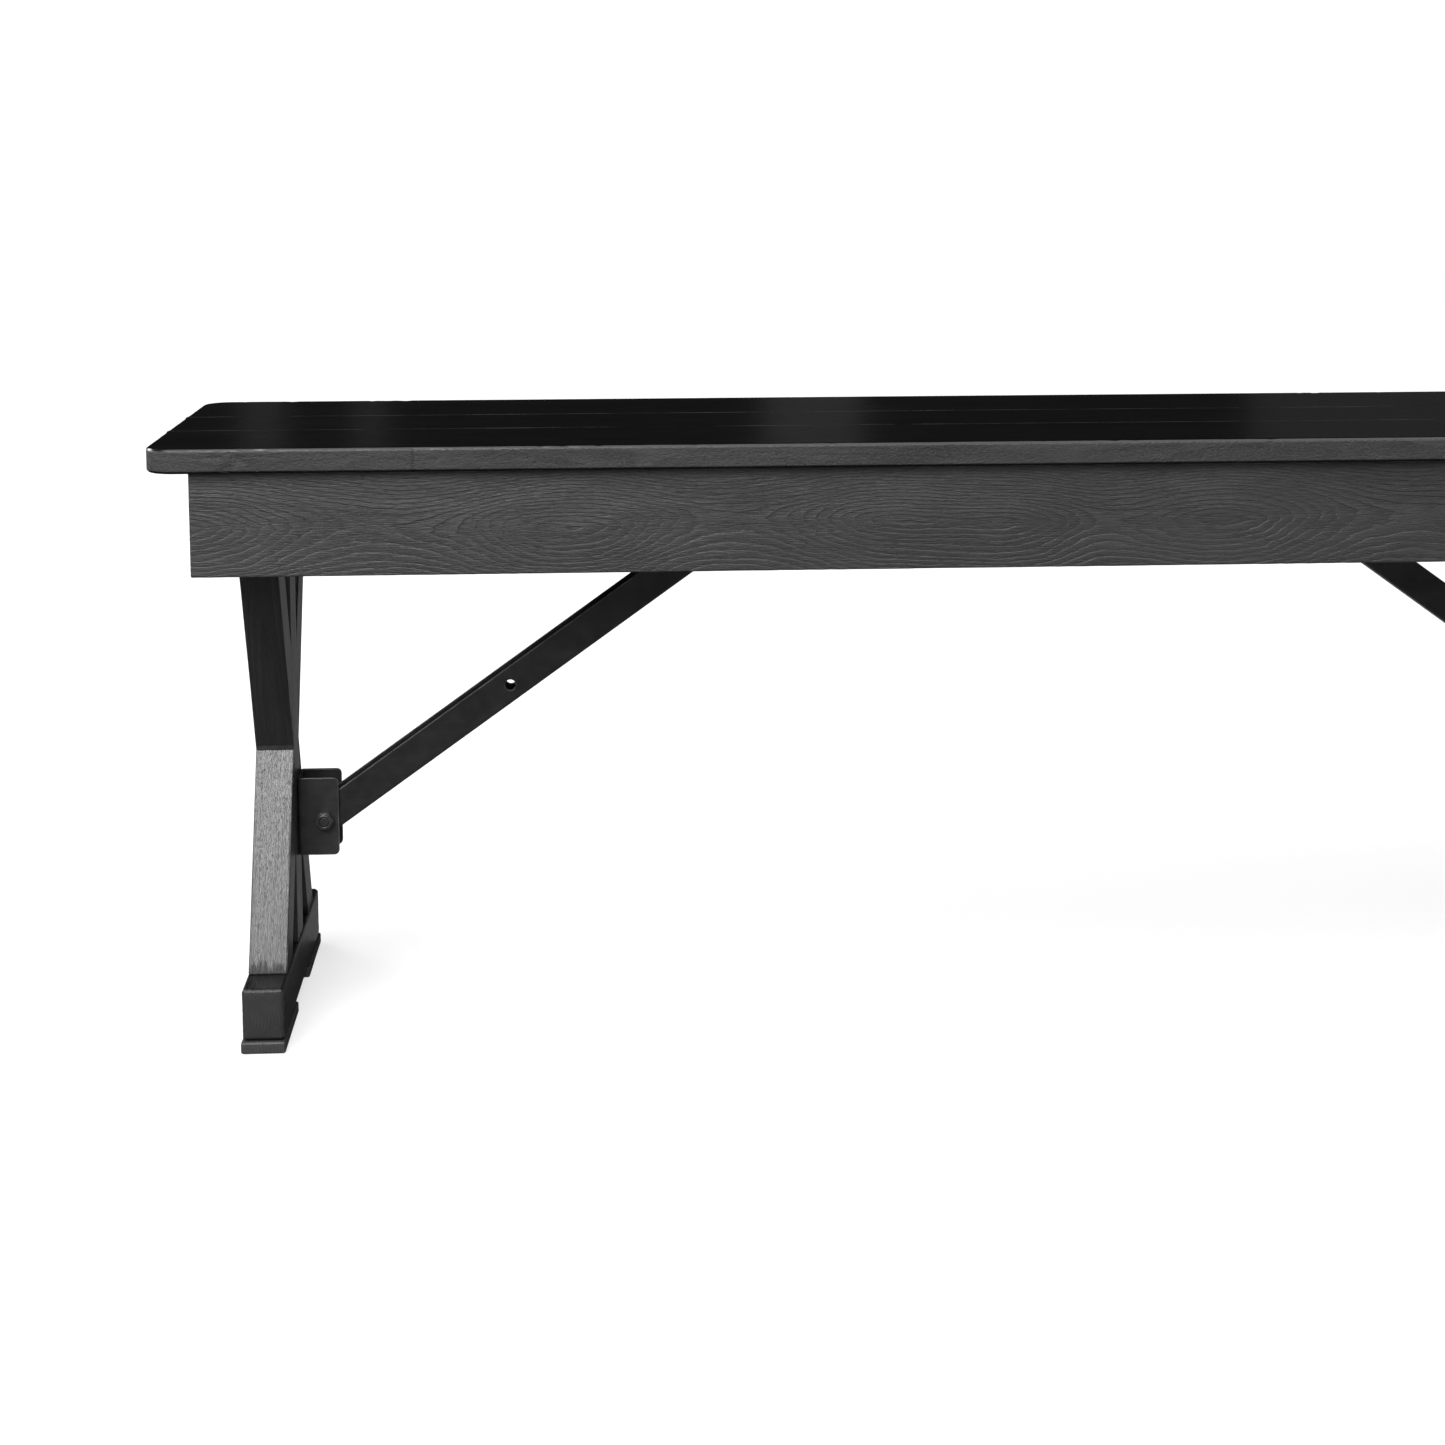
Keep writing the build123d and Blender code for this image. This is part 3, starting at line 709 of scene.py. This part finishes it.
# ---- Legs ----
FOOT_EDGE = 3.0 * MM
PAD_EDGE = 1.6 * MM
TUCK = 3 * MM  # an arm reaches this far past its root, inside the post
FEATHER = 2 * MM  # and it is never thinner than this
UPPER_ARM_PAINTED_SHADE = 0.6  # how much painted shade the upper arms' outer faces get, as the darker paint
RAGGED = (7, 5)  # in mm: how high the darker end of a lower arm is, and how far that varies
STRAIGHT = 0.35  # how far the rings of a leg's boards wander
ARM_RINGS = (0.10 * MM, 1.5 * MM)  # how far an arm's grain stands out, and its spacing
ARM_STEPS = (0.8 * MM, 0.8 * MM, 2.4 * MM)
PAD_STEPS = (1.5 * MM, 2.0 * MM, 1.2 * MM)
PAD_GRAIN = 0.14 * MM


def straight_grain(axes, box, seed, height, spacing=2.6 * MM):
    """Grain of a board sawn to one side of the pith, straight from end to end."""
    low, high = box
    origin = [low[a] for a in axes]
    pith = (-(20 + 7 * (seed % 5)) * MM, (high[axes[2]] - low[axes[2]]) * (0.3 + 0.1 * (seed % 4)))
    return wood(axes, origin, (1, 1, 1), pith, spacing, height, seed, wander=STRAIGHT)


def make_leg(leg):
    """A leg's rail, foot, post, four arms and two pads."""
    body = f"{leg}_leg"
    seed = 100 + 31 * LEGS.index(leg)
    parts = (
        ("rail", (1, 2, 0), BOARD_EDGE, (1.8 * MM, 2.4 * MM, 1.4 * MM), 0.20 * MM, LEG_PAINT),
        ("foot_beam", (1, 0, 2), FOOT_EDGE, (1.5 * MM, 2.4 * MM, 1.5 * MM), 0.20 * MM, FOOT_PAINT),
        ("post", (2, 1, 0), BOARD_EDGE, (1.4 * MM, 1.4 * MM, 2.4 * MM), 0.18 * MM, LEG_PAINT),
    )
    for number, (part, axes, edge, steps, height, paint) in enumerate(parts):
        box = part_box(f"{leg}_{part}")
        relief = straight_grain(axes, box, seed + number, height)
        piece = add_board(f"{leg}_{part}_board", box, edge, steps, relief, long_axis=axes[0])
        stand_in(piece, f"{leg}_{part}", body, paint)
    for level in ("upper", "lower"):
        for place in ("front", "rear"):
            seed += 3
            make_arm(leg, level, place, body, seed)
    make_pads(leg, body, seed + 5)


def make_pads(leg, body, seed):
    """The two pads under a foot, which one CAD node holds with a gap between them."""
    node = f"{leg}_foot_pads"
    low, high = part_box(node)
    middle = (low[1] + high[1]) / 2
    rear_pad = [v.co[1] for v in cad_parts[node].data.vertices if v.co[1] > middle]
    gap = min(rear_pad) - middle
    for place, y_low, y_high in (("front", low[1], middle - gap), ("rear", middle + gap, high[1])):
        box = ((low[0], y_low, low[2]), (high[0], y_high, high[2]))
        relief = straight_grain((1, 0, 2), box, seed, PAD_GRAIN)
        piece = add_board(f"{leg}_foot_pad_{place}", box, PAD_EDGE, PAD_STEPS, relief, long_axis=1)
        stand_in(piece, node, body, PAD_PAINT)


def make_arm(leg, level, place, body, seed):
    """A diagonal arm of the leg's X.

    It starts as a feather edge against the post, so it is made straight, and then its width
    is laid between two slanting lines.
    """
    node = f"{leg}_arm_{level}_{place}"
    low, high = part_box(node)
    post_low, post_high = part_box(f"{leg}_post")
    middle = (post_low[1] + post_high[1]) / 2
    half = (post_high[1] - post_low[1]) / 2
    way = -1 if place == "front" else 1
    up = 1 if level == "upper" else -1
    root, tip = (low[2], high[2]) if up > 0 else (high[2], low[2])
    reach = max(abs(low[1] - middle), abs(high[1] - middle))
    slope = (reach - half) / abs(tip - root)
    start = root - up * TUCK

    def bend(points):
        """Lays an outer face that starts at the post's face, and an inner one along it."""
        rise = (points[:, 2] - root) * up
        outer = half + slope * rise
        inner = np.minimum(np.maximum(half, slope * rise - half), outer - FEATHER)
        share = (points[:, 1] * way + half) / (2 * half)
        bent = points.copy()
        bent[:, 1] = middle + way * (inner + share * (outer - inner))
        return bent

    def painted_shade_and_dark_end(points):
        """Painted shade on an upper arm's outer face, which faces down, and a darker ragged bottom
        end on a lower arm.
        """
        if up > 0:
            # painted shade: the downward-tilted outer face takes the darker paint
            return UPPER_ARM_PAINTED_SHADE * smoothstep(half - 1 * MM, half, points[:, 1] * way)
        above = points[:, 2] - low[2]
        streaks = noise(points, (1.2 * MM, 1.2 * MM, 20 * MM), seed + 9)
        ragged = (RAGGED[0] + RAGGED[1] * streaks) * MM
        return 1 - smoothstep(-1 * MM, 1 * MM, above - ragged)

    box = ((low[0], -half, min(start, tip)), (high[0], half, max(start, tip)))
    relief = straight_grain((2, 1, 0), box, seed, *ARM_RINGS)
    piece = add_board(
        f"{node}_board", box, BOARD_EDGE, ARM_STEPS, relief, long_axis=2, bend=bend, painted_shade_and_dark_end=painted_shade_and_dark_end
    )
    stand_in(piece, node, body, LEG_PAINT)


def finish_nodes():
    """Materials for the CAD nodes that keep their shape."""
    steel = ["corner_irons"]
    small = ["top_screws", "fitting_screws"]
    pins = []
    brackets = []
    for leg in LEGS:
        steel += [f"{leg}_{part}" for part in ("hangers", "catch", "brace")]
        small += [f"{leg}_{part}" for part in ("pivot_bolts", "bracket_screws", "brace_bolt")]
        pins.append(f"{leg}_lock_pin")
        brackets.append(f"{leg}_brace_bracket")
    coats = (
        (steel, STEEL),
        (small, FASTENER),
        (pins, PIN_STEEL),
        (brackets, BRACKET_STEEL),
        (["battens"], UNDER_Y),
        (["corner_strips"], UNDER_X),
    )
    for names, material in coats:
        for name in names:
            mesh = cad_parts[name].data
            mesh.materials.clear()
            mesh.materials.append(material)


# ---- Studio ----
FLOOR_REACH = 30.0  # from its middle to each side
FLOOR_SUNK = 0.2 * MM  # a little lower than the raised grain of the foot pads
FLOOR_GREYS = (0.38, 0.40)
FLOOR_GLOW = 0.66
REFLECTED_SKY = 0.009  # the camera sees a white background, and the paint reflects this


def make_floor():
    """A pale floor that is seen only from above."""
    ways = np.array([(-1, -1), (1, -1), (1, 1), (-1, 1)])
    corners = np.column_stack([ways * FLOOR_REACH, np.full(4, -FLOOR_SUNK)])
    floor = add_mesh("floor", corners, [[0, 1, 2, 3]], smooth=False)
    material, tree, shader = new_material("floor_paint")
    where = tree.nodes.new("ShaderNodeTexCoord").outputs["Object"]
    tone = texture(tree, where, (0.6, 0.6, 0.6))
    tree.links.new(two_greys(tree, tone, *FLOOR_GREYS), shader.inputs["Base Color"])
    shader.inputs["Roughness"].default_value = 0.9
    shader.inputs["Specular IOR Level"].default_value = 0.0
    shader.inputs["Emission Color"].default_value = (1, 1, 1, 1)
    shader.inputs["Emission Strength"].default_value = FLOOR_GLOW
    one_sided = tree.nodes.new("ShaderNodeMixShader")
    back = tree.nodes.new("ShaderNodeNewGeometry").outputs["Backfacing"]
    clear = tree.nodes.new("ShaderNodeBsdfTransparent").outputs["BSDF"]
    for number, output in enumerate((back, shader.outputs["BSDF"], clear)):
        tree.links.new(output, one_sided.inputs[number])
    tree.links.new(one_sided.outputs["Shader"], tree.nodes["Material Output"].inputs["Surface"])
    floor.visible_glossy = False
    floor.data.materials.append(material)


def make_world():
    """White behind the bench, but dim where its paint reflects the room."""
    world = bpy.data.worlds.new("studio")
    world.use_nodes = True
    tree = world.node_tree
    path = tree.nodes.new("ShaderNodeLightPath")
    sky = two_greys(tree, path.outputs["Is Camera Ray"], REFLECTED_SKY, 1.0)
    tree.links.new(sky, tree.nodes["Background"].inputs["Color"])
    bpy.context.scene.world = world
    bpy.context.scene.view_settings.view_transform = "Standard"


def add_light(name, place, target, size, radiance):
    """A soft box of a size and a radiance, with its power worked out from them."""
    light = bpy.data.lights.new(name, "AREA")
    light.shape = "RECTANGLE"
    light.size, light.size_y = size
    light.energy = radiance * math.pi * size[0] * size[1]
    lamp = bpy.data.objects.new(name, light)
    lamp.location = place
    lamp.rotation_euler = (Vector(target) - Vector(place)).to_track_quat("-Z", "Y").to_euler()
    lamp.visible_camera = False
    bpy.context.scene.collection.objects.link(lamp)


# Each soft box's name, place, the point that it faces, its size and its radiance.
SOFT_BOXES = (
    ("front_box", (-2.0, -3.0, 2.1), (-1.0, 0, 0.2), (2.4, 1.6), 6.6),
    ("high_box", (-2.0, -2.4, 3.4), (-0.6, 0, 0.4), (2.6, 1.6), 5.0),
    ("back_left_box", (-4.4, 2.6, 2.0), (-0.6, 0, 0.2), (1.8, 1.6), 9.0),
    ("back_right_box", (5.4, 2.6, 2.2), (0.8, 0, 0.2), (1.8, 1.6), 7.0),
    ("left_box", (-4.0, -0.7, 1.5), (-1.1, 0, 0.3), (1.4, 1.4), 5.0),
    ("right_box", (4.6, -0.9, 2.2), (1.0, 0, 0.3), (1.6, 1.4), 3.0),
    ("low_glow", (-0.2, 1.2, 0.01), (-0.2, 1.2, 1.0), (2.4, 2.2), 0.22),
)
# Tall dim cards behind the bench, which its glossy top reflects as upright bands: name,
# place along X, width and radiance.
CARDS = (
    ("card_left", -1.68, 0.10, 0.035),
    ("card_thin", -1.42, 0.08, 0.030),
    ("card_middle", -0.34, 0.24, 0.045),
    ("card_right", 2.45, 3.40, 0.030),
)
CARD_PLACE = 4.0
CARD_HEIGHT = 1.6
SKY_STRENGTH = 2.9
SKY_SPREAD = math.radians(75)
SKY_TILT = math.radians(20)


def make_lights():
    """Soft boxes and cards, and a broad light from above."""
    for box in SOFT_BOXES:
        add_light(*box)
    for name, x, width, radiance in CARDS:
        add_light(name, (x, CARD_PLACE, 1.0), (x, 0, 1.0), (width, CARD_HEIGHT), radiance)
    sun = bpy.data.lights.new("soft_sky", "SUN")
    sun.energy = SKY_STRENGTH
    sun.angle = SKY_SPREAD
    lamp = bpy.data.objects.new("soft_sky", sun)
    lamp.rotation_euler = (SKY_TILT, 0, 0)
    bpy.context.scene.collection.objects.link(lamp)


# The camera's turn is in radians: to the side, down, and about its own line of sight.
CAMERA_TURN = (-0.0587, 0.1142, 0.0023)
CAMERA_PLACE = (-0.9075, -1.8691, 0.6807)
SENSOR = 36  # this and the lens are in millimetres
LENS = 60.21
FRAME_SHIFT = -0.218


def make_camera():
    """The picture's camera: turned a little, tilted down, with the frame moved down."""
    yaw, pitch, roll = CAMERA_TURN
    right = Vector((math.cos(yaw), math.sin(yaw), 0))
    level = Vector((-math.sin(yaw), math.cos(yaw), 0))
    ahead = level * math.cos(pitch) - Vector((0, 0, math.sin(pitch)))
    up = right.cross(ahead)
    across = right * math.cos(roll) - up * math.sin(roll)
    upward = right * math.sin(roll) + up * math.cos(roll)
    lens = bpy.data.cameras.new("camera")
    lens.sensor_width = SENSOR
    lens.lens = LENS
    lens.shift_y = FRAME_SHIFT
    camera = bpy.data.objects.new("camera", lens)
    turned = Matrix((across, upward, -ahead)).transposed().to_4x4()
    camera.matrix_world = Matrix.Translation(CAMERA_PLACE) @ turned
    bpy.context.scene.collection.objects.link(camera)
    bpy.context.scene.camera = camera


make_camera()
make_top()
make_aprons()
for leg_name in LEGS:
    make_leg(leg_name)
finish_nodes()
make_floor()
make_world()
make_lights()
